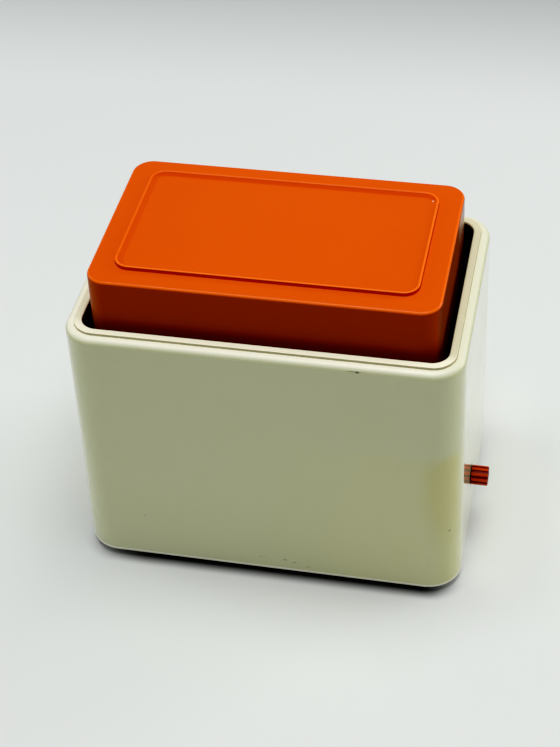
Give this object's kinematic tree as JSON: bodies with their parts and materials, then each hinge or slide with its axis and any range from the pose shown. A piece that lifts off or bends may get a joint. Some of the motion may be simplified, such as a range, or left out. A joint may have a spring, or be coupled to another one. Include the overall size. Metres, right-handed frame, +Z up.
{
  "type": "ticket validator",
  "caption": "Hand-pressed table-top ticket validator: cream casing, orange push-down press head, ribbed side knob, ticket slot at the rear, printing and punching mechanism inside.",
  "frame": {"origin": "centre of the footprint, on the surface the machine stands on (underside of the anti-slip mat)", "axes": "+Z up, the way the press head returns; +X across the width, towards the side knob; +Y towards the ticket slot in the rear wall"},
  "size_m": [0.1402, 0.09, 0.1192],
  "materials": {
    "cream_plastic": "satin, slightly yellowed cream ABS",
    "orange_plastic": "satin orange ABS",
    "black_plastic": "matt black moulding",
    "knob_plastic": "dark red moulded plastic",
    "rubber_black": "ribbed anti-slip mat and platen rubber",
    "zinc_steel": "zinc-plated sheet and screws",
    "ground_steel": "ground and polished rod",
    "spring_steel": "oiled spring wire and leaf",
    "brass": "turned brass",
    "tool_steel": "hardened and ground",
    "nylon": "natural nylon",
    "type_plastic": "ink-stained black type wheels",
    "zone_plastic": "dark red type wheel",
    "ribbon": "inked woven ribbon"
  },
  "bodies": {
    "housing": {"casing": "cream_plastic", "rim_ring": "cream_plastic", "guide_sleeve": "black_plastic", "base_plate": "black_plastic", "base_mat": "rubber_black", "base_screws": "zinc_steel", "mounting_inserts": "brass", "chassis_frame": "zinc_steel", "chassis_screws": "zinc_steel", "post_spacers": "zinc_steel", "guide_posts": "ground_steel", "post_clips": "spring_steel", "stroke_stops": "nylon", "return_springs": "spring_steel", "ticket_table": "zinc_steel", "table_screws": "zinc_steel", "ticket_rails": "zinc_steel", "ticket_stop": "zinc_steel", "top_guide": "zinc_steel", "guide_screws": "zinc_steel", "slot_mouth": "black_plastic", "die_bush": "tool_steel", "chip_cup": "black_plastic", "spool_axles": "ground_steel", "gear_axle": "ground_steel", "ribbon_guide_pins": "ground_steel", "ink_ribbon": "ribbon", "detent_spring": "spring_steel", "shaft_bushes": "nylon"},
    "press": {"press_head": "orange_plastic", "press_carriage": "zinc_steel", "carriage_screws": "zinc_steel", "guide_bushes": "brass", "platen_bracket": "zinc_steel", "platen_pad": "rubber_black", "bracket_screws": "zinc_steel", "notch_punch": "tool_steel", "feed_rack": "nylon"},
    "knob": {"side_knob": "knob_plastic", "type_shaft": "ground_steel", "zone_wheel": "zone_plastic", "shaft_sleeves": "nylon", "shaft_clip": "spring_steel"},
    "day_wheel_body": {"day_wheel": "type_plastic"},
    "month_wheel_body": {"month_wheel": "type_plastic"},
    "year_wheel_body": {"year_wheel": "type_plastic"},
    "supply_reel": {"supply_spool": "black_plastic", "supply_coil": "ribbon"},
    "takeup_reel": {"takeup_spool": "black_plastic", "takeup_coil": "ribbon"},
    "idler": {"idler_gear": "nylon"},
    "feed": {"feed_gear": "nylon"},
    "pawl": {"feed_pawl": "tool_steel"}
  },
  "joints": [
    {"name": "press_slide", "type": "slide", "parent": "housing", "child": "press", "axis": [0, 0, -1], "range_m": [0, 0.012], "stiffness_N_per_m": 1500, "springref_m": -0.008, "deforming": ["return_springs"]},
    {"name": "knob_turn", "type": "hinge", "parent": "housing", "child": "knob", "pos_m": [0, -0.0085, 0.0247], "axis": [1, 0, 0], "continuous": true},
    {"name": "day_turn", "type": "hinge", "parent": "housing", "child": "day_wheel_body", "pos_m": [0, -0.0085, 0.0247], "axis": [1, 0, 0], "continuous": true},
    {"name": "month_turn", "type": "hinge", "parent": "housing", "child": "month_wheel_body", "pos_m": [0, -0.0085, 0.0247], "axis": [1, 0, 0], "continuous": true},
    {"name": "year_turn", "type": "hinge", "parent": "housing", "child": "year_wheel_body", "pos_m": [0, -0.0085, 0.0247], "axis": [1, 0, 0], "continuous": true},
    {"name": "supply_spin", "type": "hinge", "parent": "housing", "child": "supply_reel", "pos_m": [0, -0.03, 0.0165], "axis": [1, 0, 0], "continuous": true},
    {"name": "takeup_spin", "type": "hinge", "parent": "housing", "child": "takeup_reel", "pos_m": [0, 0.0115, 0.0165], "axis": [1, 0, 0], "continuous": true},
    {"name": "idler_turn", "type": "hinge", "parent": "housing", "child": "idler", "pos_m": [0.033, 0.0115, 0.03], "axis": [1, 0, 0], "range_deg": [-118, 3]},
    {"name": "feed_turn", "type": "hinge", "parent": "housing", "child": "feed", "pos_m": [0.031, 0.0115, 0.0165], "axis": [1, 0, 0], "range_deg": [-3, 95]},
    {"name": "pawl_swing", "type": "hinge", "parent": "feed", "child": "pawl", "pos_m": [0.0275, 0.0119, 0.00925], "axis": [1, 0, 0], "range_deg": [-14, 0], "stiffness_Nm_per_rad": 0.0006, "springref_deg": 14.32}
  ],
  "couplings": [
    {"joint": "idler_turn", "follows": "press_slide", "rad_per_m": -166.67},
    {"joint": "feed_turn", "follows": "press_slide", "rad_per_m": 133.33}
  ]
}
